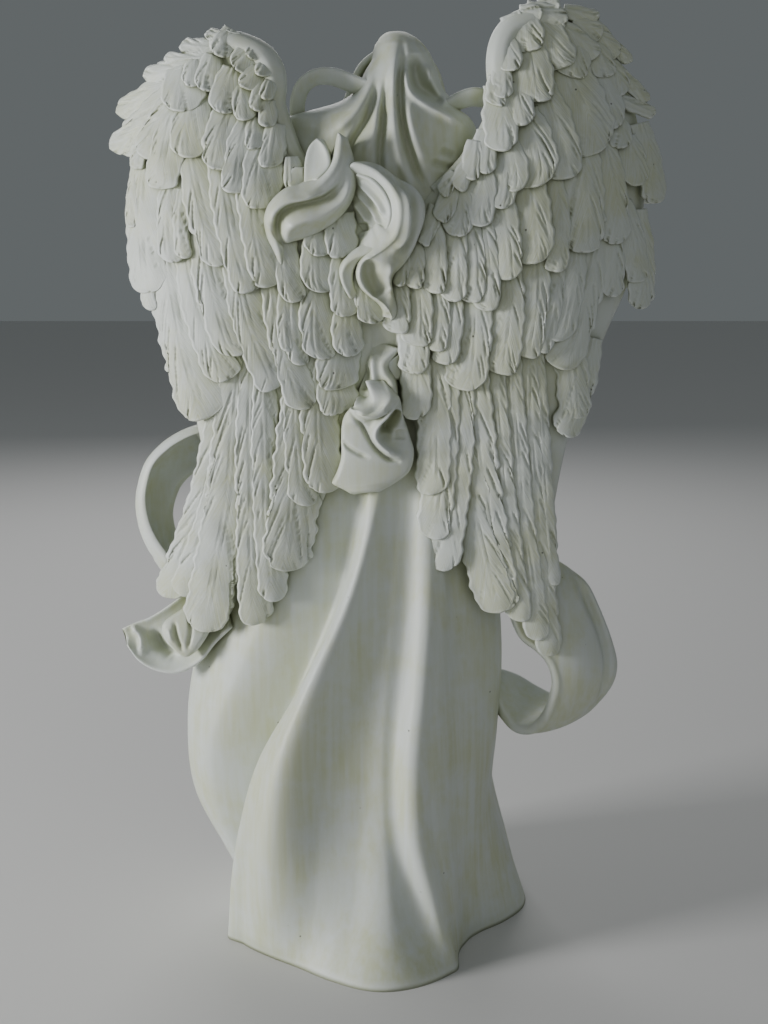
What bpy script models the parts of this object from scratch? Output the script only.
"""A standing angel in a long gown and veil with two tall wings, made as one casting.

Metres, +Z up. The face looks along -Y and the wings' feathered backs along +Y.
All places below are in units of a hundredth of the figure's height, with X zero
over the middle of the base and Z zero at its underside.
"""

import math

import bmesh
import bpy
import numpy as np

# Driving dimensions, in metres
HEIGHT = 0.600
FEATHER_PLATE = 0.0042
GRAIN = 0.0024

# Size of the finished surface
MOST_FACES = 9600

UNIT = HEIGHT / 100
PLATE = FEATHER_PLATE / UNIT

CAST_COLOUR = (0.66, 0.68, 0.60, 1.0)
CAST_ROUGHNESS = 0.5

# Depth that the gown goes below the underside before it is cut off flat
BELOW_BASE = 2.0

# Body above the skirt: half extents to the left, right, back and front of the axis, by height
BODY = (
    (52, 10.6, 9.4, 8.0, 8.4),
    (60, 7.4, 7.4, 6.4, 6.4),
    (70, 7.9, 8.2, 6.4, 7.6),
    (79, 9.4, 9.6, 6.2, 6.8),
    (83.5, 8.6, 8.8, 5.4, 4.8),
    (86.5, 4.2, 4.6, 3.8, 3.2),
    (90, 2.6, 3.4, 2.8, 2.6),
)

# Skirt: heights of its sections, and lines down it that give angle and distance from the axis there
SKIRT_HEIGHTS = (0, 7, 14, 22, 30, 41, 52, 62)
SKIRT_LINES = {
    "left side": ((0, 14.5), (0, 18.0), (0, 21.4), (0, 22.2), (0, 21.1), (0, 16.5), (0, 10.9),
                  (0, 7.4)),
    "left back": ((8, 14.4), (9, 16.6), (11, 19.4), (14, 19.9), (20, 17.2), (30, 12.9), (40, 9.4),
                  (40, 7.0)),
    "below the edge": ((15, 14.6), (16.5, 14.0), (22.5, 14.6), (29.5, 13.5), (41, 11.1), (60, 8.1),
                       (75, 7.3), (80, 6.8)),
    "train edge": ((20.5, 18.3), (21, 17.4), (27.5, 17.4), (34.5, 16.0), (47, 12.9), (66, 9.3),
                   (81, 8.0), (90, 6.9)),
    "strip": ((31, 17.9), (33, 18.0), (38, 18.0), (42, 16.7), (51, 13.8), (68.5, 9.9), (84, 8.1),
              (93, 6.9)),
    "crest": ((44, 17.2), (45, 17.9), (48, 17.8), (49, 16.8), (54.5, 14.3), (71, 10.2), (87, 8.1),
              (96, 6.9)),
    "valley left": ((58, 17.0), (62, 15.0), (61, 13.8), (62, 12.6), (68, 10.9), (81, 8.9), (94, 7.7),
                    (102, 6.8)),
    "valley": ((72, 18.0), (76, 14.2), (75, 12.0), (77, 10.6), (82, 9.3), (91, 8.2), (100, 7.4),
               (106, 6.8)),
    "valley right": ((88, 19.3), (91, 14.8), (89, 12.0), (88, 10.5), (91, 9.2), (98, 8.1), (105, 7.4),
                     (110, 6.8)),
    "pleat foot": ((114, 17.2), (105.7, 14.0), (98, 12.2), (97.3, 10.9), (102.3, 9.8), (109.5, 8.6),
                   (113, 7.8), (116, 6.8)),
    "pleat": ((118, 16.7), (110, 14.8), (102, 13.3), (101.3, 12.1), (106.5, 11.1), (114.5, 9.8),
              (118, 8.6), (120, 6.8)),
    "pleat side": ((124, 14.4), (121, 13.8), (115, 13.1), (114, 12.4), (119, 11.5), (126, 10.2),
                   (130, 8.9), (133, 6.9)),
    "right back": ((137, 12.5), (136, 12.2), (134, 12.0), (132, 11.8), (133, 11.2), (136, 9.9),
                   (139, 8.6), (142, 7.0)),
    "hem notch": ((150, 12.5), (150, 12.0), (150, 11.9), (150, 12.1), (150, 12.0), (150, 10.9),
                  (151, 9.0), (152, 7.2)),
    "right side back": ((165, 14.2), (165, 12.8), (165, 12.0), (165, 12.6), (165, 12.9), (165, 11.9),
                        (165, 9.5), (165, 7.3)),
    "right side": ((180, 16.2), (180, 14.1), (180, 12.4), (180, 12.8), (180, 13.2), (180, 12.3),
                   (180, 9.8), (180, 7.4)),
    "right front": ((215, 17.2), (215, 15.4), (215, 13.6), (215, 12.8), (215, 12.6), (215, 11.4),
                    (215, 9.0), (215, 7.2)),
    "front": ((270, 15.8), (270, 14.8), (270, 13.8), (270, 12.8), (270, 11.8), (270, 10.4), (270, 8.4),
              (270, 6.4)),
    "left front": ((318, 16.0), (318, 17.0), (318, 18.0), (318, 17.8), (318, 16.4), (318, 13.2),
                   (318, 9.2), (318, 7.0)),
}
FRONT_FOLDS = ((-38, 1.1), (-57, 1.4), (-74, 1.0), (-93, 1.5), (-113, 1.2), (-131, 1.5), (-152, 1.0))
FRONT_FOLD_SPREAD = 6.0
FRONT_FOLD_TOP = 60.0

# Gathers of the bodice: heights where they start and fade, relief, and count round the body
GATHERS_FROM = (60.0, 63.0)
GATHERS_TO = (68.0, 79.0)
GATHER_RELIEF = 0.22
GATHER_COUNT = 26

# Veil: middle, half widths to the left and right, back and front, by height
VEIL = (
    (97.5, -1.3, 0.05, 0.05, -0.9, -1.1),
    (97.4, -1.3, 0.75, 0.75, -0.1, -1.7),
    (97.2, -1.35, 1.3, 1.3, 0.6, -2.3),
    (96.9, -1.4, 1.75, 1.8, 1.3, -2.9),
    (96.5, -1.45, 2.1, 2.3, 2.0, -3.5),
    (96.0, -1.45, 2.4, 2.75, 2.7, -3.9),
    (95.5, -1.5, 2.6, 3.1, 3.1, -4.2),
    (94.5, -1.5, 2.8, 3.6, 3.8, -4.6),
    (93.5, -1.5, 3.4, 4.0, 4.3, -4.9),
    (92.5, -1.5, 3.9, 4.3, 4.7, -5.0),
    (91.5, -1.5, 4.5, 4.7, 5.0, -4.9),
    (90.8, -1.5, 5.2, 5.3, 5.3, -4.7),
    (90.0, -1.5, 6.8, 5.9, 5.7, -4.3),
    (89.4, -1.5, 9.0, 6.4, 6.0, -3.9),
    (88.8, -1.5, 11.2, 7.2, 6.3, -3.6),
    (87.8, -1.2, 11.6, 8.2, 6.8, -3.4),
    (86.0, -0.6, 11.4, 9.0, 7.4, -3.4),
    (82.0, 0.0, 11.0, 10.0, 8.2, -4.0),
    (76.0, 0.0, 9.8, 9.8, 8.4, -3.0),
)

# Folds down the back of the veil: the route in X and Z, relief and spread
VEIL_FOLDS = (
    (((-1.9, 96.3), (-1.8, 93.9), (-1.6, 92.0), (-1.7, 89.1), (-2.0, 87.1), (-2.5, 85.2), (-3.2, 83.2),
      (-4.3, 81.4)), -0.9, 0.38),
    (((-1.1, 94.9), (-1.0, 92.0), (-1.0, 89.1), (-1.2, 86.2), (-1.8, 83.7), (-2.8, 81.6)), 0.5, 0.5),
    (((-2.7, 90.4), (-2.6, 88.6), (-3.2, 86.2), (-4.2, 83.8)), 0.4, 0.5),
    (((-0.2, 92.4), (0.0, 90.0), (0.2, 87.1), (0.4, 85.2), (0.4, 82.4)), -0.9, 0.36),
    (((0.7, 92.0), (1.1, 90.0), (1.8, 88.1), (3.0, 86.2), (4.0, 84.2)), -0.9, 0.42),
    (((1.3, 93.5), (1.8, 91.1), (2.9, 88.9), (5.0, 87.0)), 0.6, 0.55),
    (((0.6, 89.5), (0.9, 87.2), (1.8, 84.8)), 0.4, 0.5),
    (((-3.1, 94.9), (-3.2, 92.8), (-3.7, 91.5), (-4.9, 90.8), (-6.3, 90.0)), -1.9, 0.85),
    (((-2.4, 94.2), (-2.3, 92.5), (-2.8, 90.9), (-3.8, 90.0), (-5.0, 89.3), (-6.4, 88.6), (-7.9, 87.6)),
     0.8, 0.42),
    (((-4.7, 94.0), (-4.9, 92.2), (-5.6, 90.9), (-6.9, 89.8)), 0.8, 0.5),
    (((-5.6, 85.2), (-7.1, 84.6)), -0.5, 0.3),
    (((-4.6, 84.0), (-7.1, 83.3)), -0.5, 0.3),
    (((6.5, 86.6), (8.5, 86.9), (10.2, 87.6)), -0.5, 0.8),
)

# Feathers: place of the tip, place of the root and half width, away from the middle plane
LEFT_FEATHERS = {
    "primary": (
        (22.2, 38.7, 16.9, 58.1, 1.2), (23.9, 38.1, 17.6, 59.8, 1.5), (19.8, 34.9, 15.8, 59.8, 2.1),
        (13.8, 36.0, 13.6, 59.9, 1.5), (11.8, 38.7, 12.1, 59.9, 1.3), (10.8, 42.1, 8.7, 59.0, 2.2),
        (8.5, 49.1, 8.7, 60.8, 1.3), (6.3, 50.5, 6.5, 60.8, 1.7),
    ),
    "greater": (
        (4.8, 58.7, 5.1, 62.1, 1.6), (5.1, 61.2, 4.7, 65.3, 1.7), (18.7, 58.0, 22.2, 74.4, 2.2),
        (16.2, 62.1, 19.4, 72.9, 1.7), (15.2, 64.6, 17.9, 74.8, 1.6), (11.1, 61.3, 14.4, 72.2, 1.6),
        (8.4, 59.2, 11.0, 71.9, 1.3), (9.7, 65.2, 9.7, 71.0, 0.8), (8.7, 63.8, 9.0, 70.4, 0.9),
        (6.7, 64.4, 6.7, 71.6, 1.4), (3.8, 64.7, 3.8, 69.2, 1.2), (3.8, 68.7, 3.9, 74.5, 1.3),
        (1.4, 68.0, 1.8, 73.5, 1.2),
    ),
    "median": (
        (26.4, 77.5, 25.6, 83.0, 0.6), (24.4, 69.1, 24.0, 73.6, 0.8), (24.7, 70.8, 24.8, 82.1, 1.6),
        (20.4, 74.4, 20.5, 79.8, 0.7), (21.9, 74.0, 21.6, 81.3, 1.1), (16.4, 73.7, 18.8, 82.0, 1.5),
        (13.5, 71.1, 16.0, 82.7, 1.5), (11.7, 71.6, 13.3, 83.5, 1.4), (9.1, 70.1, 10.0, 76.0, 1.0),
        (6.7, 71.1, 6.8, 75.7, 1.3), (6.8, 74.7, 6.6, 77.4, 1.2), (4.4, 74.5, 4.5, 78.0, 1.2),
    ),
    "lesser": (
        (26.0, 83.5, 24.5, 86.0, 0.7), (25.0, 84.7, 21.5, 89.6, 1.3),
        (23.1, 81.3, 21.0, 89.0, 1.4), (20.2, 84.4, 19.5, 89.2, 1.5), (17.0, 83.2, 15.7, 88.2, 1.5),
        (14.9, 80.8, 13.8, 86.4, 1.4), (12.5, 79.3, 12.0, 84.9, 1.5),
    ),
    "spike": (
        (28.6, 85.2, 22.7, 90.2, 1.5), (28.1, 89.2, 22.9, 92.0, 1.1), (24.8, 92.7, 20.2, 93.8, 1.0),
        (22.4, 94.4, 18.9, 94.4, 0.7), (20.7, 95.7, 17.5, 95.4, 0.8), (18.0, 96.7, 15.4, 96.4, 0.6),
    ),
    "upper": (
        (21.1, 89.0, 20.4, 92.3, 1.8), (19.9, 91.5, 19.2, 93.5, 0.8),
        (18.3, 91.0, 17.6, 93.4, 1.0), (16.6, 88.8, 15.7, 91.8, 1.2), (16.8, 94.4, 15.8, 96.2, 1.0),
    ),
    "margin": (
        (9.1, 81.2, 9.3, 83.7, 0.7), (11.6, 83.3, 11.1, 86.7, 0.9), (13.1, 85.1, 12.9, 87.6, 0.8),
        (14.1, 87.9, 14.3, 90.8, 0.9), (11.9, 87.3, 11.7, 89.4, 0.7), (12.9, 88.9, 12.2, 91.2, 0.8),
        (14.0, 91.1, 13.0, 92.8, 0.9), (14.9, 93.0, 13.6, 94.8, 1.1), (12.0, 90.0, 11.6, 91.5, 0.6),
        (12.4, 92.3, 12.0, 93.4, 0.7), (13.6, 94.2, 13.0, 95.0, 0.7),
    ),
}
RIGHT_FEATHERS = {
    "primary": (
        (5.2, 50.3, 5.1, 61.1, 1.5), (5.3, 45.5, 5.9, 62.0, 1.5), (6.2, 42.1, 7.4, 62.0, 1.6),
        (12.5, 37.5, 9.1, 54.1, 1.8), (13.0, 37.7, 9.6, 62.0, 1.7), (14.7, 36.4, 11.7, 62.0, 1.2),
        (16.8, 34.2, 13.5, 62.0, 1.2), (18.1, 32.3, 15.1, 62.0, 1.2), (17.9, 40.2, 16.1, 61.0, 0.9),
    ),
    "secondary": (
        (3.4, 58.2, 3.2, 64.2, 1.3), (20.1, 58.0, 19.1, 64.9, 1.5), (18.8, 56.2, 21.0, 64.0, 1.4),
    ),
    "greater": (
        (3.2, 62.9, 2.9, 68.4, 1.2), (6.1, 63.9, 6.6, 70.6, 1.2), (3.4, 65.7, 3.2, 71.7, 1.3),
        (5.3, 65.2, 5.4, 71.4, 1.0), (8.4, 61.2, 8.9, 70.1, 1.7), (11.9, 62.8, 12.2, 72.6, 1.6),
        (14.4, 64.5, 15.1, 73.7, 1.4), (16.0, 65.0, 17.3, 73.0, 0.9), (17.9, 66.1, 19.2, 74.6, 1.2),
        (18.4, 63.2, 21.3, 74.9, 1.6), (1.4, 67.0, 1.2, 72.0, 1.1),
    ),
    "median": (
        (1.6, 71.7, 2.1, 74.5, 0.6), (3.1, 71.5, 3.2, 75.3, 0.8), (5.3, 71.0, 4.9, 77.3, 0.9),
        (7.2, 70.2, 6.9, 77.6, 1.0), (9.1, 70.1, 8.5, 77.6, 1.0), (10.6, 69.3, 9.7, 77.9, 1.0),
        (12.7, 72.4, 11.1, 81.5, 1.3), (17.5, 73.1, 17.2, 80.7, 1.0), (15.4, 74.0, 14.0, 82.3, 1.7),
        (20.6, 75.0, 19.7, 85.0, 1.8), (24.3, 75.9, 22.5, 85.0, 1.3), (23.8, 70.5, 23.3, 76.6, 1.0),
        (26.9, 71.9, 25.3, 78.3, 1.1), (27.4, 69.1, 26.8, 77.0, 1.2),
    ),
    "lesser": (
        (3.8, 75.8, 5.0, 78.6, 0.7), (5.6, 78.1, 6.7, 80.7, 0.8), (7.5, 76.6, 7.6, 80.4, 1.1),
        (9.2, 77.6, 9.6, 82.3, 1.4), (11.7, 79.3, 12.1, 83.5, 1.1), (13.2, 81.0, 12.6, 84.9, 1.3),
        (15.8, 81.6, 14.4, 87.2, 1.9), (18.5, 82.3, 16.4, 89.3, 1.7), (21.9, 85.0, 18.6, 92.0, 2.4),
        (23.7, 87.4, 21.9, 92.5, 1.4), (24.7, 85.5, 24.1, 87.8, 1.1), (26.7, 81.8, 25.6, 85.5, 1.2),
        (28.9, 80.0, 27.4, 86.1, 1.2),
    ),
    "upper": (
        (11.9, 84.9, 11.7, 89.3, 1.3), (13.8, 87.4, 13.1, 90.8, 1.4), (15.2, 89.7, 14.6, 94.0, 1.9),
        (19.1, 92.2, 19.2, 95.4, 1.5), (18.0, 93.1, 16.4, 96.3, 1.8), (21.7, 94.5, 19.0, 96.6, 0.9),
        (23.1, 92.6, 21.9, 94.8, 1.1), (24.9, 91.0, 23.8, 93.0, 1.0),
    ),
    "spike": (
        (27.8, 90.5, 24.2, 93.4, 0.8), (28.7, 89.3, 25.0, 90.4, 0.7), (25.6, 94.2, 22.6, 97.0, 0.7),
    ),
    "margin": (
        (5.8, 80.6, 6.9, 82.3, 0.6), (7.4, 81.1, 8.5, 83.5, 0.7), (8.7, 82.1, 9.2, 85.1, 0.8),
        (10.1, 82.7, 10.3, 86.1, 0.9), (11.3, 89.3, 11.5, 91.7, 0.8), (12.1, 90.1, 11.9, 93.3, 0.8),
        (13.0, 92.8, 12.4, 95.7, 1.0), (15.0, 94.8, 13.9, 97.9, 1.5), (15.9, 98.6, 14.1, 98.7, 0.8),
        (17.7, 99.4, 15.9, 99.7, 0.6), (18.5, 98.0, 15.2, 98.8, 1.0), (21.9, 98.4, 19.0, 98.9, 0.7),
        (22.3, 96.8, 19.8, 97.7, 0.9), (24.3, 95.0, 22.1, 96.6, 0.8),
    ),
}

# By row: bow, share by which the root is drawn back under the row above, lift of root and tip,
# width of the side that lies under the next feather, and power of the tip's taper
ROW_SHAPE = {
    "primary": (0.3, 0.55, 0.1, 1.05, 1.35, 0.5),
    "secondary": (0.3, 0.3, 0.1, 1.0, 1.4, 0.5),
    "greater": (0.45, 0.25, 0.15, 1.3, 1.6, 0.5),
    "median": (0.4, 0.3, 0.2, 1.35, 1.7, 0.5),
    "lesser": (0.4, 0.35, 0.25, 1.35, 1.7, 0.5),
    "upper": (0.2, 0.5, 0.3, 1.3, 1.6, 0.5),
    "spike": (-0.3, 0.4, 0.2, 1.0, 1.2, 0.85),
    "margin": (0.1, 0.3, 0.3, 1.05, 1.7, 0.5),
}
FRONT_ROWS = ("primary", "greater", "lesser")
SIDE_TILT = 0.2
FRONT_ROOT = -0.9
FRONT_TIP = 1.0
PRIMARY_SWEEP = 0.28
LONG_FEATHER = 10.0
CROWN = 0.26
FEATHER_STEPS = 8
FEATHER_ACROSS = 7

# Middle of the head, which leans to the figure's right
HEAD_MIDDLE = -1.4

# Outline of each wing's body, from the top down: inner edge and outer edge
LEFT_EDGES = (
    ((15.6, 97.0), (11.4, 95.4), (9.9, 92.2), (10.2, 88.6), (8.6, 84.6), (3.6, 80), (0.6, 76),
     (0.6, 66),
     (3.4, 58), (7, 48), (11, 41)),
    ((15.9, 97.0), (20.0, 95.0), (23.6, 91.2), (25.8, 87.2), (26.0, 80), (24.4, 72), (21, 63), (19, 54),
     (18.6, 46), (18, 40)),
)
RIGHT_EDGES = (
    ((15.8, 99.0), (11.9, 97.2), (10.5, 93.6), (10.4, 89.2), (8.2, 84.4), (3.6, 80.4), (0.6, 76),
     (0.6, 66),
     (3.0, 58), (5.4, 48), (11, 40)),
    ((16.2, 99.0), (20.6, 98.2), (24.6, 93.6), (26.8, 88.0), (27.6, 82), (26.6, 74), (23, 66),
     (19.4, 56),
     (17.6, 46), (16.6, 38)),
)

# Depth of the wings' feathered surface along the middle, by height, and thickness of the wing
WING_DEPTH = (
    (28, 6.6, 1.0),
    (45, 7.6, 1.3),
    (60, 8.4, 2.0),
    (76, 8.8, 2.8),
    (86, 7.4, 3.0),
    (93, 5.6, 3.0),
    (100, 4.0, 2.4),
)
WING_TURN_START = 9.0
WING_TURN_SPAN = 20.0
WING_TURN = 9.5
WING_TURN_POWER = 2.6
WING_EDGE_ROUND = 3.0


def keyed(keys, at):
    """Smooth values between rows of keys, whose first column is the place."""
    keys = np.array(keys, float)
    keys = keys[np.argsort(keys[:, 0], kind="stable")]
    place, value = keys[:, 0], keys[:, 1:]
    slope = np.gradient(value, place, axis=0)
    at = np.clip(np.asarray(at, float), place[0], place[-1])
    low = np.clip(np.searchsorted(place, at, side="right") - 1, 0, len(place) - 2)
    span = place[low + 1] - place[low]
    share = ((at - place[low]) / span)[..., None]
    span = span[..., None]
    rise = value[low + 1] - value[low]
    start, end = slope[low] * span, slope[low + 1] * span
    bend = (start + end - 2 * rise) * share + (3 * rise - 2 * start - end)
    return np.moveaxis(value[low] + share * (start + share * bend), -1, 0)


def route(points, count, spacing=None):
    """Points evenly spaced, or at the given shares, on a smooth curve through a few."""
    points = np.array(points, float)
    place = np.concatenate([[0], np.cumsum(np.linalg.norm(np.diff(points, axis=0), axis=1) ** 0.5)])
    dense = keyed(np.column_stack([place, points]), np.linspace(0, place[-1], 24 * len(points))).T
    along = np.concatenate([[0], np.cumsum(np.linalg.norm(np.diff(dense, axis=0), axis=1))])
    share = np.linspace(0, 1, count) if spacing is None else np.asarray(spacing)
    return np.column_stack([np.interp(share * along[-1], along, axis) for axis in dense.T])


def smooth_step(value, low, high):
    share = np.clip((value - low) / (high - low), 0, 1)
    return share * share * (3 - 2 * share)


def hill(value, spread):
    return np.exp(-((value / spread) ** 2))


def stroke(x, z, line, relief, spread):
    """Relief of a fold drawn along a broken line in X and Z, which fades in and out at its ends."""
    line = route(line, 24)
    best = np.full(np.shape(x), np.inf)
    place = np.zeros(np.shape(x))
    for index, (start, end) in enumerate(zip(line[:-1], line[1:])):
        run = end - start
        share = np.clip(((x - start[0]) * run[0] + (z - start[1]) * run[1]) / (run @ run), 0, 1)
        away = np.hypot(x - start[0] - share * run[0], z - start[1] - share * run[1])
        place = np.where(away < best, (index + share) / (len(line) - 1), place)
        best = np.minimum(best, away)
    return relief * hill(best, spread) * smooth_step(place, -0.05,
        0.25) * (1 - 0.6 * smooth_step(place, 0.85, 1.0))


def closed_loft(rings):
    """Points and triangles over rings of points, with a cap on the first and the last ring."""
    rings = np.asarray(rings, float)
    count, around = rings.shape[:2]
    points = np.concatenate([rings.reshape(-1, 3), rings[:1].mean(axis=1), rings[-1:].mean(axis=1)])
    row, column = np.meshgrid(np.arange(count - 1), np.arange(around), indexing="ij")
    after = (column + 1) % around
    a, b = row * around + column, row * around + after
    c, d = a + around, b + around
    faces = [np.stack([a, b, d], -1).reshape(-1, 3), np.stack([a, d, c], -1).reshape(-1, 3)]
    ring = np.arange(around)
    turn = (ring + 1) % around
    first, last = count * around, (count - 1) * around
    faces.append(np.column_stack([np.full(around, first), turn, ring]))
    faces.append(np.column_stack([np.full(around, first + 1), ring + last, turn + last]))
    faces = np.concatenate(faces)
    corner = points[faces]
    volume = np.einsum("ij,ij->i", corner[:, 0], np.cross(corner[:, 1], corner[:, 2])).sum()
    return points, faces if volume > 0 else faces[:, ::-1]


def unit(vectors):
    return vectors / np.maximum(np.linalg.norm(vectors, axis=-1, keepdims=True), 1e-9)


def band(path, across, half_width, half_thick, steps=34, around=16, square=0.75, folds=(0, 0.0)):
    """A limb or rolled cloth along a route, with its width along the given directions."""
    centre = route(path, steps)
    share = np.linspace(0, 1, steps)
    wide = keyed(np.column_stack([np.linspace(0, 1, len(across)), across]), share).T
    ahead = unit(np.gradient(centre, axis=0))
    wide = unit(wide - (wide * ahead).sum(1, keepdims=True) * ahead)
    normal = np.cross(ahead, wide)
    half_width = keyed(np.column_stack([np.linspace(0, 1, len(half_width)), half_width]), share)[0][:,
        None]
    half_thick = keyed(np.column_stack([np.linspace(0, 1, len(half_thick)), half_thick]), share)[0][:,
        None]
    turn = np.linspace(0, 2 * math.pi, around, endpoint=False)
    cos, sin = np.cos(turn), np.sin(turn)
    over = np.sign(cos) * np.abs(cos) ** square
    up = np.sign(sin) * np.abs(sin) ** square
    count, relief = folds
    swell = 1 + relief * share[:, None] * np.cos(count * turn + 3 * share[:, None])
    return closed_loft(centre[:, None] + (half_width * over * swell)[..., None] * wide[:, None]
                       + (half_thick * up * swell)[..., None] * normal[:, None])


def cloth(edge_a, edge_b, thick, bulge=0.0, strokes=(), steps=44, across=18, deep=None, lip=0.0):
    """Cloth between two edges in space, with folds drawn over it in X and Z."""
    a, b = route(edge_a, steps)[:, None], route(edge_b, steps)[:, None]
    share = (0.5 - 0.5 * np.cos(np.linspace(0, math.pi, across)))[None, :, None]
    share = 0.5 * share + 0.5 * np.linspace(0, 1, across)[None, :, None]
    middle = a + (b - a) * share
    ahead = unit(np.gradient(middle, axis=0))
    over = unit(np.broadcast_to(b - a, middle.shape))
    normal = unit(np.cross(ahead, over))
    if normal[..., 1].mean() < 0:
        normal = -normal
    width = np.linalg.norm(b - a, axis=-1)
    bow = 1 - (2 * share[..., 0] - 1) ** 2
    lift = bulge * np.minimum(width, 6.0) / 6.0 * bow
    lift = lift + lip * hill(share[..., 0] * width, 0.45)
    for line, relief, spread in strokes:
        lift = lift + stroke(middle[..., 0], middle[..., 2], line, relief, spread)
    edge = np.minimum(share[..., 0], 1 - share[..., 0]) * width
    full = np.sqrt(np.clip(1 - np.clip(1 - edge / (1.2 * thick), 0, 1) ** 2, 0.02, 1))
    end = np.minimum(np.arange(steps), np.arange(steps)[::-1])[:, None] / 4
    full = full * np.sqrt(np.clip(1 - np.clip(1 - end, 0, 1) ** 2, 0.05, 1))
    top = middle + normal * (lift + thick * full)[..., None]
    under = middle + normal * (np.minimum(lift, 0.0) - (thick if deep is None else deep) * full)[...,
        None]
    return closed_loft(np.concatenate([top, under[:, ::-1]], axis=1))


def ball(centre, radii, rings=16, around=22):
    level = np.linspace(0.04, math.pi - 0.04, rings)[:, None]
    turn = np.linspace(0, 2 * math.pi, around, endpoint=False)
    shape = np.stack([np.sin(level) * np.cos(turn), np.sin(level) * np.sin(turn),
                      np.cos(level) + 0 * turn], -1)
    return closed_loft(np.array(centre) + shape * np.array(radii))


def quarter_radius(angle, left, right, back, front):
    """Distance to an oval whose four half axes differ."""
    cos, sin = np.cos(angle), np.sin(angle)
    wide = np.where(cos > 0, left, right)
    deep = np.where(sin > 0, back, front)
    return 1 / np.hypot(cos / wide, sin / deep)


def gown(steps, around):
    """The skirt with its train, and the body inside it up to the neck."""
    z = np.linspace(-BELOW_BASE, BODY[-1][0], steps)
    behind = int(0.7 * around)
    angle = np.linspace(8, 152, behind, endpoint=False)
    angle = np.concatenate([angle, np.linspace(152, 368, around - behind, endpoint=False)])
    angle = np.sort(angle % 360)
    lines = [keyed(np.column_stack([SKIRT_HEIGHTS, line]), z) for line in SKIRT_LINES.values()]
    turn = np.array([line[0] + shift for shift in (-360, 0, 360) for line in lines])
    reach = np.array([line[1] for line in 3 * lines])
    skirt = np.array([keyed(np.column_stack([turn[:, row], reach[:, row]]),
                            angle)[0] for row in range(steps)])
    left, right, back, front = (value[:, None] for value in keyed(BODY, z))
    body = quarter_radius(np.radians(angle)[None, :], left, right, back, front)
    radius = skirt + (body - skirt) * smooth_step(z, BODY[0][0], BODY[1][0])[:, None]
    z = z[:, None]
    fade = smooth_step(FRONT_FOLD_TOP - z, 0, 40)
    for middle, relief in FRONT_FOLDS:
        away = (angle - middle + 180) % 360 - 180
        radius = radius + relief * fade * hill(away, FRONT_FOLD_SPREAD)
    turn = np.radians(angle)
    gathers = smooth_step(z, *GATHERS_FROM) * (1 - smooth_step(z,
        *GATHERS_TO)) * smooth_step(-np.sin(turn), 0.1, 0.5)
    radius = radius + GATHER_RELIEF * gathers * np.cos(GATHER_COUNT * turn)
    return closed_loft(np.stack([radius * np.cos(turn), radius * np.sin(turn), z + 0 * radius], -1))


def veil(steps, around):
    """The hood and the cloth that falls from it between the wings."""
    span = VEIL[0][0] - VEIL[-1][0]
    z = (VEIL[0][0] - span * np.linspace(0, 1, steps) ** 1.7)[::-1, None]
    middle, left, right, back, front = keyed(VEIL, z)
    angle = np.linspace(0, 2 * math.pi, around, endpoint=False)[None, :]
    centre = (back + front) / 2
    deep = (back - front) / 2
    radius = quarter_radius(angle, left, right, deep, deep)
    x, y = middle + radius * np.cos(angle), centre + radius * np.sin(angle)
    behind = smooth_step(np.sin(angle), 0.0, 0.5)
    for line, relief, spread in VEIL_FOLDS:
        y = y + behind * stroke(x, z + 0 * x, line, relief, spread)
    return closed_loft(np.stack([x, y, z + 0 * x], -1))


def wing_depth(away, z):
    depth = keyed(WING_DEPTH, z)[0]
    turn = np.clip((away - WING_TURN_START) / WING_TURN_SPAN, 0, None) ** WING_TURN_POWER
    return depth - WING_TURN * turn


def wing_body(side, edges, steps, across):
    """The plain body of a wing, between its inner and its outer edge."""
    inner, outer = (route(edge, steps)[:, None] for edge in edges)
    share = np.linspace(0, 1, across)[None, :, None]
    place = inner + (outer - inner) * share
    away, z = place[..., 0], place[..., 1]
    width = np.linalg.norm(outer - inner, axis=-1)
    margin = np.minimum(share[..., 0], 1 - share[..., 0]) * width
    full = 1 - np.clip(1 - margin / WING_EDGE_ROUND, 0, 1) ** 2
    half = 0.5 * keyed(WING_DEPTH, z)[1] * np.sqrt(np.clip(full, 0.02, 1))
    middle = wing_depth(away, z) - 0.5 * keyed(WING_DEPTH, z)[1]
    back = np.stack([side * away, middle + half, z], -1)
    front = np.stack([side * away, middle - half, z], -1)
    return closed_loft(np.concatenate([back, front[:, ::-1]], axis=1))


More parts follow.
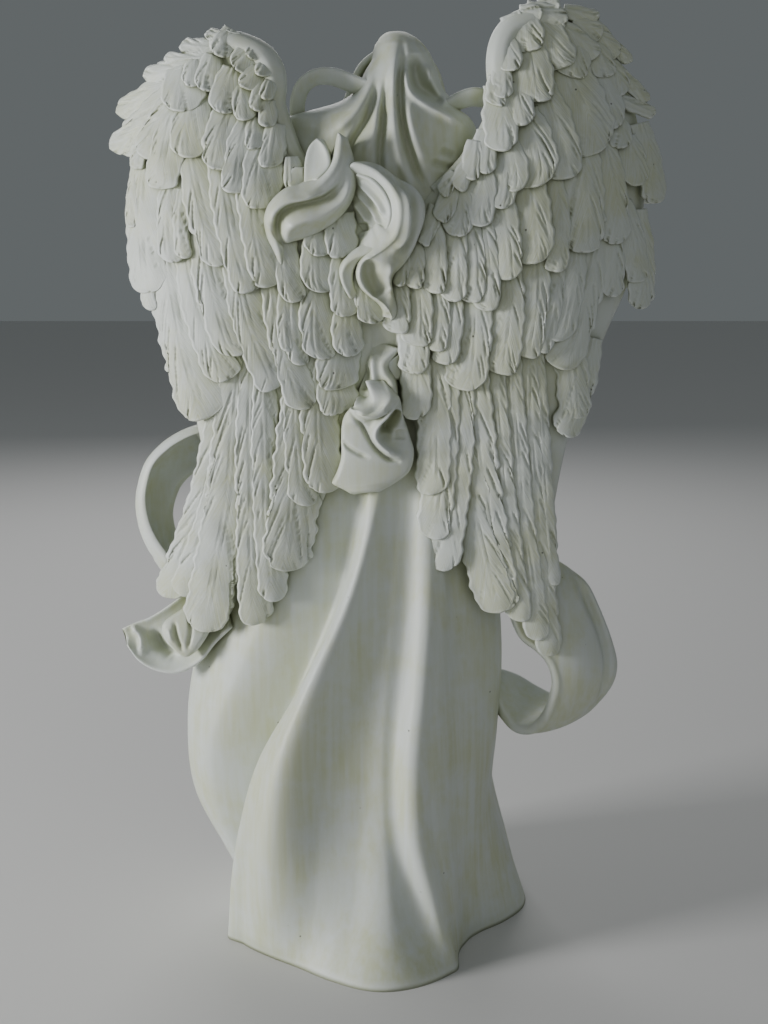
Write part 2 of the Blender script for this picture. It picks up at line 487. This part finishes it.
def feather(side, row, shape, front=False):
    """One feather as a plate that follows the wing and rises towards its tip."""
    bow, draw_back, lift_root, lift_tip, inward, point = ROW_SHAPE[row]
    tip, root, half_width = np.array(shape[:2]), np.array(shape[2:4]), shape[4]
    if row == "primary":
        bow = bow - PRIMARY_SWEEP * (tip[0] - root[0])
    root = root + draw_back * (root - tip) * min(1.0, LONG_FEATHER / np.hypot(*(root - tip)))
    run = tip - root
    length = np.linalg.norm(run)
    aside = np.array([-run[1], run[0]]) / length
    bow = bow * min(1.0, length / LONG_FEATHER)
    round_start = 1 - min(0.65, 1.2 * half_width / length)
    tip_round = 1 - np.sin(np.linspace(0, math.pi / 2, FEATHER_STEPS))[1:]
    share = np.concatenate([np.linspace(0, round_start, FEATHER_STEPS),
                            1 - (1 - round_start) * tip_round])
    over = np.linspace(-1, 1, FEATHER_ACROSS)
    centre = root + share[:, None] * run + bow * np.sin(math.pi * share)[:, None] * aside
    past = np.clip((share - round_start) / (1 - round_start), 0, 1)
    taper = (0.78 + 0.22 * smooth_step(share, 0, 0.4)) * np.clip(1 - past**2.2, 0.01, 1) ** point
    half = half_width * taper[:, None] * np.where(over > 0, 1.06, inward)
    place = centre[:, None] + (half * over)[..., None] * aside
    away, z = place[..., 0], place[..., 1]
    leans_up = run[1] < 0.3 * abs(run[0])
    lift = lift_root + (lift_tip - lift_root) * share[:, None] ** 0.8 + CROWN * (1 - over**2)
    lift = lift + SIDE_TILT * half * over * (1 if leans_up else -1)
    base = wing_depth(away, z)
    if front:
        rise = FRONT_ROOT + (FRONT_TIP - FRONT_ROOT) * share[:, None] ** 0.7 + CROWN * (1 - over**2)
        top = base - keyed(WING_DEPTH, z)[1] - rise
        under = top + PLATE
    else:
        top, under = base + lift, base + lift - PLATE
    top = np.stack([side * away, top, z], -1)
    under = np.stack([side * away, under, z], -1)
    return closed_loft(np.concatenate([top, under[:, ::-1]], axis=1))


def wing(side, edges, rows):
    """A wing's body with its rows of feathers on the back, and fewer on the front."""
    forms = [wing_body(side, edges, 32, 20)]
    for row, shapes in rows.items():
        for shape in shapes:
            forms.append(feather(side, row, shape))
            if row in FRONT_ROWS:
                forms.append(feather(side, row, shape, front=True))
    return forms


def head():
    """The bowed head with a calm, plain face, and the hair at its sides."""
    x = HEAD_MIDDLE
    forms = [
        ball((x, -2.6, 90.9), (3.3, 4.2, 4.8)),
        ball((x, -4.4, 88.4), (2.6, 2.8, 3.2)),
        ball((x, -5.9, 86.2), (1.2, 1.2, 0.9)),
        ball((x, -1.6, 85.6), (2.4, 2.4, 5.0)),
        band(((x, -6.9, 91.4), (x, -7.4, 90.2), (x, -8.1, 89.1), (x, -7.1, 88.4)),
             ((1, 0, 0), (1, 0, 0)), (0.4, 0.6, 0.5), (0.5, 0.6, 0.4)),
    ]
    for side in (-1, 1):
        forms.append(ball((x + 1.5 * side, -6.6, 90.6), (0.85, 0.6, 0.5)))
        forms.append(band(
            ((x + 0.4 * side, -5.0, 95.4), (x + 2.7 * side, -5.1, 93.4), (x + 3.6 * side, -4.4, 89.5),
             (x + 4.2 * side, -4.6, 85.5), (x + 3.9 * side, -5.6, 80.8)),
            ((0, 1, 0), (0, 1, 0)), (0.9, 1.5, 1.6, 1.5, 0.6), (0.6, 0.9, 0.9, 0.9, 0.5)))
        forms.append(band(
            ((x + 0.3 * side, -4.9, 96.4), (x + 3.6 * side, -4.7, 94.4), (x + 5.3 * side, -4.0, 90.5),
             (-0.6 + 7.2 * side, -3.7, 86.6), (8.6 * side, -4.6, 80.5), (9.0 * side, -5.2, 75.5)),
            ((0, 1, 0), (0, 1, 0)), (1.0, 1.4, 1.6, 2.0, 2.2, 1.0), (0.6, 0.7, 0.7, 0.7, 0.8, 0.5)))
    return forms


def arms():
    """Sleeves that hang from the forearms, and hands laid palm to palm."""
    forms = []
    for side in (-1, 1):
        forms.append(band(
            ((8.2 * side, -0.6, 81.5), (9.6 * side, -2.4, 75.5), (8.8 * side, -5.2, 70.2),
             (5.6 * side, -8.6, 71.4), (2.4 * side, -10.2, 74.4)),
            ((0, 1, 0), (0, 1, 0), (0, 1, 0)), (2.8, 3.1, 3.0, 2.5, 1.9), (2.6, 2.8, 2.7, 2.2, 1.6),
            square=0.9, folds=(7, 0.05)))
        forms.append(band(
            ((8.6 * side, -5.0, 71.0), (7.4 * side, -7.4, 66.0), (6.2 * side, -8.6, 60.0),
             (5.2 * side, -8.8, 54.0)),
            ((1, 0.6 * side, 0), (1, 0.6 * side, 0)), (2.6, 3.4, 3.2, 1.4), (1.6, 1.5, 1.2, 0.7),
            square=0.9, folds=(6, 0.16)))
        forms.append(band(
            ((2.6 * side, -10.2, 74.0), (1.4 * side, -11.2, 77.0), (0.8 * side, -11.6, 79.6)),
            ((0, 1, 0), (0, 1, 0)), (1.1, 1.25, 1.2), (0.8, 0.7, 0.45), square=0.9))
        for finger in range(4):
            reach = (83.2, 84.0, 83.7, 82.9)[finger]
            forms.append(band(
                ((0.75 * side, -12.5 + 0.58 * finger, 78.8), (0.55 * side, -12.6 + 0.56 * finger, 81.2),
                 (0.34 * side, -12.5 + 0.52 * finger, reach)),
                ((0, 1, 0), (0, 1, 0)), (0.34, 0.33, 0.2), (0.34, 0.32, 0.2)))
        forms.append(band(
            ((1.3 * side, -10.9, 77.6), (1.0 * side, -10.6, 79.4), (0.5 * side, -10.5, 81.0)),
            ((0, 1, 0), (0, 1, 0)), (0.42, 0.38, 0.22), (0.4, 0.36, 0.2)))
    forms.append(band(
        ((-7.0, -2.6, 62.6), (-5.0, -5.6, 61.8), (0.0, -7.4, 61.2), (5.0, -5.6, 61.8),
         (7.0, -2.6, 62.6)),
        ((0, 0, 1), (0, 0, 1)), (0.7, 0.7), (0.7, 0.7)))
    return forms


def curls():
    """The two curled ends of the veil that lie over the wings."""
    return [
        cloth(((4.6, 9.0, 86.6), (4.8, 9.4, 85.4), (5.0, 9.8, 84.2), (5.5, 10.3, 83.1),
               (6.6, 10.7, 82.0), (8.2, 10.9, 81.3),
               (9.7, 11.0, 80.9), (10.8, 10.9, 80.1), (11.5, 10.7, 79.2), (11.8, 10.4, 78.2),
               (11.6, 10.1, 77.0), (11.2, 9.9, 75.8),
               (10.9, 9.7, 74.6), (10.8, 9.4, 73.2)),
              ((3.6, 9.0, 86.2), (3.1, 9.0, 84.6), (2.8, 9.0, 83.0), (2.8, 9.0, 81.4), (3.4, 9.0, 79.8),
               (4.6, 9.1, 78.3),
               (6.0, 9.1, 77.3), (7.6, 9.1, 76.6), (9.0, 9.1, 76.3), (10.0, 9.1, 76.0),
               (10.1, 9.0, 75.2), (10.1, 9.0, 74.4),
               (10.3, 9.0, 73.6), (10.6, 9.0, 72.6)),
              0.45, 1.0,
              ((((4.1, 82.6), (4.7, 81.5), (6.0, 80.5), (7.4, 80.1), (8.8, 79.8), (9.9, 79.3),
                 (10.5, 78.5), (10.6, 77.4),
                 (10.4, 76.4)), -1.0, 0.42),
               (((3.6, 82.4), (4.6, 80.4), (6.4, 79.2), (8.2, 78.8), (9.4, 78.2), (9.8, 77.3)), 0.75,
                0.6),
               (((6.2, 81.4), (8.0, 80.7), (9.6, 80.3), (10.9, 79.2), (11.1, 77.8)), 0.45, 0.4)),
              deep=2.2, lip=0.3),
        cloth(((6.6, 8.6, 86.2), (7.4, 8.6, 85.4), (7.8, 8.7, 84.2), (7.9, 8.9, 82.8),
               (7.9, 9.2, 81.6)),
              ((6.3, 8.9, 86.1), (5.7, 9.2, 85.4), (5.3, 9.5, 84.4), (5.3, 9.9, 83.4),
               (6.6, 10.3, 82.0)),
              0.35, -0.7, deep=1.2),
        cloth(((7.9, 8.6, 83.4), (8.9, 8.6, 83.4), (9.6, 8.7, 82.6), (9.4, 9.0, 81.6)),
              ((7.9, 8.9, 81.6), (8.3, 9.2, 81.4), (8.8, 9.6, 81.2), (9.0, 9.9, 81.1)), 0.3, -0.4,
              deep=1.0),
        cloth(((3.3, 10.0, 83.1), (2.2, 10.5, 82.9), (0.9, 11.0, 82.3), (-0.3, 11.5, 81.1),
               (-0.9, 11.8, 79.9), (-1.0, 11.9, 78.4),
               (-0.6, 11.9, 77.1), (0.3, 11.7, 76.1), (1.2, 11.5, 75.4), (1.9, 11.3, 74.8),
               (2.5, 11.1, 73.9), (2.7, 10.9, 72.8),
               (2.3, 10.7, 71.7), (1.4, 10.5, 70.8), (0.4, 10.3, 70.0), (-0.3, 10.2, 68.9)),
              ((3.2, 9.4, 83.7), (1.4, 9.4, 83.6), (-0.6, 9.5, 82.9), (-2.1, 9.7, 82.0),
               (-3.2, 9.8, 81.1), (-3.9, 9.9, 80.0),
               (-4.0, 9.9, 78.8), (-3.5, 9.9, 76.9), (-2.9, 9.9, 75.4), (-2.0, 9.8, 74.0),
               (-1.1, 9.8, 73.1), (-0.7, 9.8, 72.1),
               (-1.0, 9.8, 70.8), (-1.3, 9.8, 69.6), (-1.2, 9.8, 68.8), (-0.7, 9.8, 68.3)),
              0.42, 0.8,
              ((((0.6, 82.9), (-1.2, 82.0), (-2.2, 80.8), (-2.6, 79.2), (-2.5, 77.4), (-1.9, 75.8),
                 (-1.2, 74.9)), -0.9, 0.5),
               (((1.2, 74.8), (1.5, 73.4), (1.1, 72.0), (0.2, 70.8)), -1.2, 0.75),
               (((-1.5, 81.2), (-1.9, 79.0), (-1.6, 77.2), (-0.7, 75.9)), 0.5, 0.5),
               (((-0.6, 74.4), (-0.2, 73.0), (-0.6, 71.0)), 0.5, 0.4)),
              deep=2.4, lip=0.35),
        cloth(((0.4, 11.5, 76.0), (1.6, 11.2, 75.5), (2.9, 10.9, 75.0), (3.9, 10.7, 74.3),
               (4.4, 10.5, 73.3), (4.3, 10.3, 72.3),
               (3.9, 10.1, 71.3), (3.5, 9.9, 70.6)),
              ((1.0, 10.8, 75.3), (1.8, 10.7, 74.9), (2.6, 10.4, 74.2), (3.0, 10.2, 73.4),
               (3.1, 10.0, 72.4), (2.9, 9.9, 71.6),
               (2.7, 9.8, 71.0), (3.1, 9.8, 70.5)), 0.36, 0.2, deep=1.4, lip=0.2),
        cloth(((3.6, 8.8, 82.6), (3.4, 8.2, 80.8), (2.9, 8.0, 79.2), (2.9, 8.0, 77.6), (3.4, 8.2, 76.2),
               (3.6, 8.6, 75.2)),
              ((2.6, 10.2, 82.8), (1.0, 11.0, 82.1), (-0.3, 11.4, 80.6), (-0.8, 11.5, 78.9),
               (-0.3, 11.3, 77.2), (1.0, 10.9, 76.0)),
              0.3, -0.5,
              ((((2.7, 82.2), (1.6, 81.2), (0.4, 79.8), (-0.2, 78.6)), 0.6, 0.3),
               (((2.8, 81.4), (1.8, 80.2), (0.8, 78.8), (0.4, 77.6)), 0.6, 0.3),
               (((2.9, 80.3), (2.1, 79.0), (1.5, 77.8)), 0.45, 0.3),
               (((2.4, 78.0), (2.2, 77.2)), -0.7, 0.6)), deep=1.4),
    ]


def sash():
    """The gathered end of the sash between the wings."""
    return [
        cloth(((1.4, 7.4, 66.6), (1.7, 7.8, 64.4), (2.2, 8.1, 62.4), (2.7, 8.3, 60.7),
               (3.1, 8.4, 58.8)),
              ((-1.7, 8.8, 65.4), (-0.2, 9.2, 63.9), (-0.3, 9.4, 63.1), (-1.0, 9.5, 62.2),
               (-1.4, 9.4, 60.4)), 0.4, -0.3,
              ((((0.9, 64.8), (0.8, 62.4), (0.9, 60.4)), 0.5, 0.35),
               (((1.7, 63.6), (2.0, 61.0)), -0.5, 0.4),
               (((0.1, 62.4), (0.0, 61.0)), -0.3, 0.4)), deep=2.4),
        cloth(((-2.0, 8.6, 65.6), (-3.4, 8.2, 64.4), (-3.6, 8.0, 62.4)),
              ((-1.6, 8.6, 65.0), (-0.3, 8.7, 63.9), (-1.0, 8.4, 62.2)), 0.35, -0.4, deep=1.6),
        cloth(((3.2, 9.7, 59.6), (4.0, 9.4, 58.7), (4.3, 9.2, 57.7), (4.4, 9.1, 56.2), (4.4, 9.1, 54.4),
               (4.9, 9.0, 52.7),
               (5.4, 8.8, 51.6), (4.4, 8.9, 51.0), (3.4, 9.1, 50.5)),
              ((3.0, 10.0, 59.7), (1.3, 10.5, 59.95), (-0.6, 10.7, 60.8), (-1.5, 10.0, 60.6),
               (-2.0, 9.2, 58.6), (-2.7, 8.9, 56.4),
               (-3.1, 8.9, 54.8), (-2.6, 9.0, 52.8), (0.4, 9.2, 50.7)), 0.45, 0.6,
              ((((-1.2, 60.6), (-0.3, 59.3), (0.5, 58.4), (0.9, 57.5), (0.9, 56.7), (0.4, 55.9),
                 (-0.5, 55.1), (-1.4, 54.6)), 0.9, 0.42),
               (((-1.6, 59.4), (-0.8, 58.4), (-0.2, 57.5), (-0.2, 56.8)), -1.9, 0.55),
               (((-1.6, 57.4), (-1.6, 56.2)), -0.5, 0.6),
               (((3.2, 59.3), (2.4, 58.2), (1.8, 57.0), (1.3, 56.0), (0.6, 55.1), (-0.4, 54.3),
                 (-1.4, 54.0)), -0.55, 0.22),
               (((4.3, 56.3), (3.7, 55.5), (2.9, 55.0), (1.8, 54.5)), -0.35, 0.25),
               (((2.6, 59.5), (1.2, 59.6), (-0.2, 60.2)), 0.5, 0.35)), deep=2.6),
    ]


def ribbons():
    """The scarf's ends that loop out beside the wings, and the two thin loops by the head."""
    forms = [
        cloth(((17.0, 3.4, 57.6), (19.0, 3.6, 56.8), (21.4, 3.8, 55.9), (23.3, 3.8, 54.7),
               (25.0, 3.7, 52.9), (25.8, 3.6, 50.7),
               (26.1, 3.5, 48.8), (25.8, 3.5, 46.4), (25.0, 3.6, 44.4), (23.7, 3.8, 42.5),
               (22.2, 4.0, 40.6), (20.4, 4.4, 38.4)),
              ((17.2, -2.8, 51.4), (18.6, -2.8, 51.5), (20.2, -2.8, 51.2), (21.6, -2.8, 50.4),
               (22.7, -2.8, 49.2), (23.4, -2.8, 47.6),
               (23.7, -2.8, 46.2), (23.6, -2.8, 44.8), (23.2, -2.7, 43.4), (22.4, -2.4, 41.6),
               (21.4, -2.2, 40.2), (20.2, -2.0, 39.0)),
              0.42, -1.7,
              ((((20.4, 51.7), (22.0, 50.8), (23.2, 49.5), (23.9, 47.7), (24.2, 46.2), (24.1, 44.7),
                 (23.7, 43.2)), 0.55, 0.24),), lip=0.35),
        cloth(((18.6, 2.6, 40.8), (20.7, 2.2, 39.2), (22.4, 2.0, 37.6), (24.1, 1.8, 36.3),
               (25.8, 1.6, 35.2), (27.5, 1.4, 34.5),
               (28.9, 1.4, 33.8)),
              ((16.4, 5.0, 35.0), (18.4, 4.6, 33.0), (19.6, 4.4, 31.4), (21.0, 4.1, 30.2),
               (22.7, 3.9, 29.5), (24.9, 3.5, 29.6),
               (27.0, 3.0, 30.6), (28.4, 2.3, 32.2)),
              0.4, -1.1, ((((27.9, 34.1), (26.9, 33.2), (26.7, 31.6)), 0.7, 0.4),
                          (((25.8, 34.0), (25.1, 32.6), (23.4, 31.4)), -1.1, 0.6)), lip=0.3, deep=0.6),
        cloth(((20.0, 3.8, 38.2), (21.8, 4.3, 37.0), (24.0, 4.6, 35.2), (23.7, 5.0, 33.6),
               (22.5, 5.2, 32.4), (21.6, 5.2, 31.9)),
              ((17.8, 4.2, 37.0), (18.4, 4.8, 35.8), (18.9, 5.2, 34.6), (19.6, 5.4, 33.4),
               (20.4, 5.4, 32.4), (21.2, 5.3, 31.8)),
              0.45, 0.35,
              ((((22.6, 35.6), (22.4, 34.2), (21.8, 32.8)), -0.45, 0.22),
               (((21.0, 36.4), (20.8, 34.6), (21.1, 33.0)), -0.35, 0.2),
               (((23.2, 34.8), (22.9, 33.6)), 0.3, 0.25)), deep=1.6),
        cloth(((-12.4, 4.6, 40.0), (-13.4, 5.0, 36.6), (-14.7, 5.2, 33.8), (-16.4, 5.4, 32.5),
               (-17.6, 5.5, 31.2), (-18.3, 5.4, 29.1),
               (-18.0, 5.1, 26.8), (-17.1, 4.6, 24.4), (-16.0, 3.8, 23.0), (-14.6, 2.8, 22.7),
               (-13.4, 1.8, 23.8), (-12.4, 1.0, 25.6)),
              ((-17.4, 1.0, 42.4), (-20.2, 1.7, 40.9), (-22.2, 1.9, 39.3), (-23.7, 1.9, 36.5),
               (-25.3, 1.3, 32.4), (-26.0, 0.5, 29.5),
               (-25.6, -0.6, 27.0), (-24.2, -1.6, 25.0), (-22.2, -2.5, 24.2), (-20.0, -3.2, 24.4),
               (-17.8, -3.7, 25.4),
               (-15.2, -3.6, 27.0), (-12.6, -3.0, 28.0)),
              0.4, 1.5, ((((-20.6, 40.2), (-22.3, 36.8), (-23.6, 33.3), (-24.0, 29.9), (-23.3, 26.5)),
                          -0.9, 0.6),), lip=0.3),
    ]
    thin = (
        (((0.8, 3.0, 91.0), (2.9, 2.4, 91.8), (5.4, 2.0, 92.7), (7.1, 1.8, 92.6), (8.3, 1.4, 91.8),
          (8.9, 1.2, 90.4), (9.0, 1.0, 88.0)),
         ((0, 0.5, 0.85), (0, 0.5, 0.85), (0.6, 0.7, 0.5), (0.9, 0.4, 0)), (1.0, 1.0, 0.95, 0.8),
         (0.34, 0.34)),
        (((-5.4, 2.4, 88.8), (-7.2, 2.6, 90.0), (-9.0, 2.6, 90.6), (-10.2, 2.2, 90.5),
          (-11.8, 1.8, 89.8)),
         ((0, 0.6, 1), (0, 0.6, 1)), (0.7, 0.9, 1.0, 0.8), (0.4, 0.5, 0.4)),
        (((8.8, -5.2, 69.6), (12.0, -3.9, 65.2), (14.8, -1.8, 59.8), (17.2, 0.2, 55.2),
          (19.4, 0.5, 54.0)),
         ((0, 0.6, 1), (0, 0.8, 0.8), (0, 0.7, 0.7)), (2.2, 2.8, 3.5, 4.1, 3.9),
         (0.7, 0.6, 0.5, 0.5, 0.4)),
        (((-9.0, -5.4, 69.6), (-12.0, -4.8, 62.0), (-13.0, -4.6, 50.0), (-12.4, -4.0, 36.0),
          (-11.6, -3.0, 27.0)),
         ((0, 1, 0.4), (0.2, 1, 0)), (2.2, 2.6), (0.7, 0.7)),
    )
    return forms + [band(*form) for form in thin]


def wing_roots():
    """The rolled leading edge of each wing, and the cast body that joins the wings at the back."""
    rolls = (
        (((17.2, 3.4, 95.6), (15.4, 3.8, 95.6), (13.6, 4.1, 95.0), (12.2, 4.4, 94.1), (11.4, 4.6, 92.7),
          (11.3, 4.8, 91.3),
          (11.4, 5.1, 89.8), (10.9, 5.4, 88.1), (10.2, 5.7, 86.3), (9.2, 6.0, 84.3), (7.0, 6.6, 82.0),
          (4.5, 7.0, 80.0)), 1),
        (((17.0, 3.0, 98.3), (14.6, 3.4, 97.9), (13.0, 3.7, 97.0), (12.2, 4.0, 95.9), (11.8, 4.4, 94.4),
          (11.8, 4.8, 92.6),
          (12.0, 5.2, 91.0), (11.8, 5.6, 89.1), (11.0, 6.0, 87.2), (9.8, 6.4, 85.4), (7.6, 6.8, 83.0),
          (5.0, 7.1, 81.0)), -1),
    )
    forms = [ball((0.0, 5.6, 72.0), (7.0, 3.2, 11.0))]
    for path, side in rolls:
        path = tuple((side * x, y, z) for x, y, z in path)
        forms.append(band(path, ((0, 1, 0), (0, 1, 0)), (1.5, 1.7, 1.6, 1.5, 1.2, 0.8),
                          (1.3, 1.5, 1.5, 1.4, 1.1, 0.7), folds=(9, 0.035)))
    return forms


def figure():
    """Every form of the casting, as overlapping closed bodies."""
    forms = [gown(110, 220), veil(60, 90)]
    forms += head() + arms() + wing_roots() + curls() + sash() + ribbons()
    forms += wing(1, LEFT_EDGES, LEFT_FEATHERS) + wing(-1, RIGHT_EDGES, RIGHT_FEATHERS)
    return forms


def clear_scene():
    for item in list(bpy.data.objects):
        bpy.data.objects.remove(item, do_unlink=True)


def object_of(forms, name):
    """One mesh object from closed bodies given in units."""
    points, faces, count = [], [], 0
    for form_points, form_faces in forms:
        points.append(form_points)
        faces.append(form_faces + count)
        count += len(form_points)
    mesh = bpy.data.meshes.new(name)
    mesh.from_pydata((np.concatenate(points) * UNIT).tolist(), [], np.concatenate(faces).tolist())
    item = bpy.data.objects.new(name, mesh)
    bpy.context.scene.collection.objects.link(item)
    return item


def apply_modifiers(item):
    graph = bpy.context.evaluated_depsgraph_get()
    mesh = bpy.data.meshes.new_from_object(item.evaluated_get(graph))
    item.modifiers.clear()
    item.data = mesh


def fuse(item):
    """Joins the overlapping bodies into one skin, as a mould would."""
    remesh = item.modifiers.new("one_skin", "REMESH")
    remesh.mode = "VOXEL"
    remesh.voxel_size = GRAIN
    apply_modifiers(item)


def keep_largest_body(item):
    """Removes the closed specks that stay inside thin places after fusing."""
    shape = bmesh.new()
    shape.from_mesh(item.data)
    left = set(shape.verts)
    bodies = []
    while left:
        body, edge = set(), [left.pop()]
        while edge:
            vertex = edge.pop()
            body.add(vertex)
            for link in vertex.link_edges:
                other = link.other_vert(vertex)
                if other in left:
                    left.remove(other)
                    edge.append(other)
        bodies.append(body)
    largest = max(bodies, key=len)
    extra = [vertex for body in bodies if body is not largest for vertex in body]
    bmesh.ops.delete(shape, geom=extra, context="VERTS")
    shape.to_mesh(item.data)
    shape.free()


def cut_base(item):
    """Cuts the casting off flat at the underside, so that it stands."""
    shape = bmesh.new()
    shape.from_mesh(item.data)
    geometry = list(shape.verts) + list(shape.edges) + list(shape.faces)
    cut = bmesh.ops.bisect_plane(shape, geom=geometry, plane_co=(0, 0, 0), plane_no=(0, 0, -1),
                                 clear_outer=True)
    rim = [part for part in cut["geom_cut"] if isinstance(part, bmesh.types.BMEdge)]
    bmesh.ops.triangle_fill(shape, edges=rim, use_beauty=True, normal=(0, 0, -1))
    bmesh.ops.recalc_face_normals(shape, faces=list(shape.faces))
    shape.to_mesh(item.data)
    shape.free()


def thin_out(item):
    """Leaves triangles where the carving is, and few where the surface is plain."""
    thin = item.modifiers.new("thin_out", "DECIMATE")
    thin.ratio = MOST_FACES / sum(len(face.vertices) - 2 for face in item.data.polygons)
    thin.use_collapse_triangulate = True
    apply_modifiers(item)


def cast_material():
    material = bpy.data.materials.new("painted_casting")
    material.use_nodes = True
    shader = material.node_tree.nodes["Principled BSDF"]
    shader.inputs["Base Color"].default_value = CAST_COLOUR
    shader.inputs["Roughness"].default_value = CAST_ROUGHNESS
    shader.inputs["Metallic"].default_value = 0.0
    return material


def main():
    clear_scene()
    angel = object_of(figure(), "angel_statue")
    fuse(angel)
    keep_largest_body(angel)
    thin_out(angel)
    cut_base(angel)
    angel.data.materials.append(cast_material())


main()
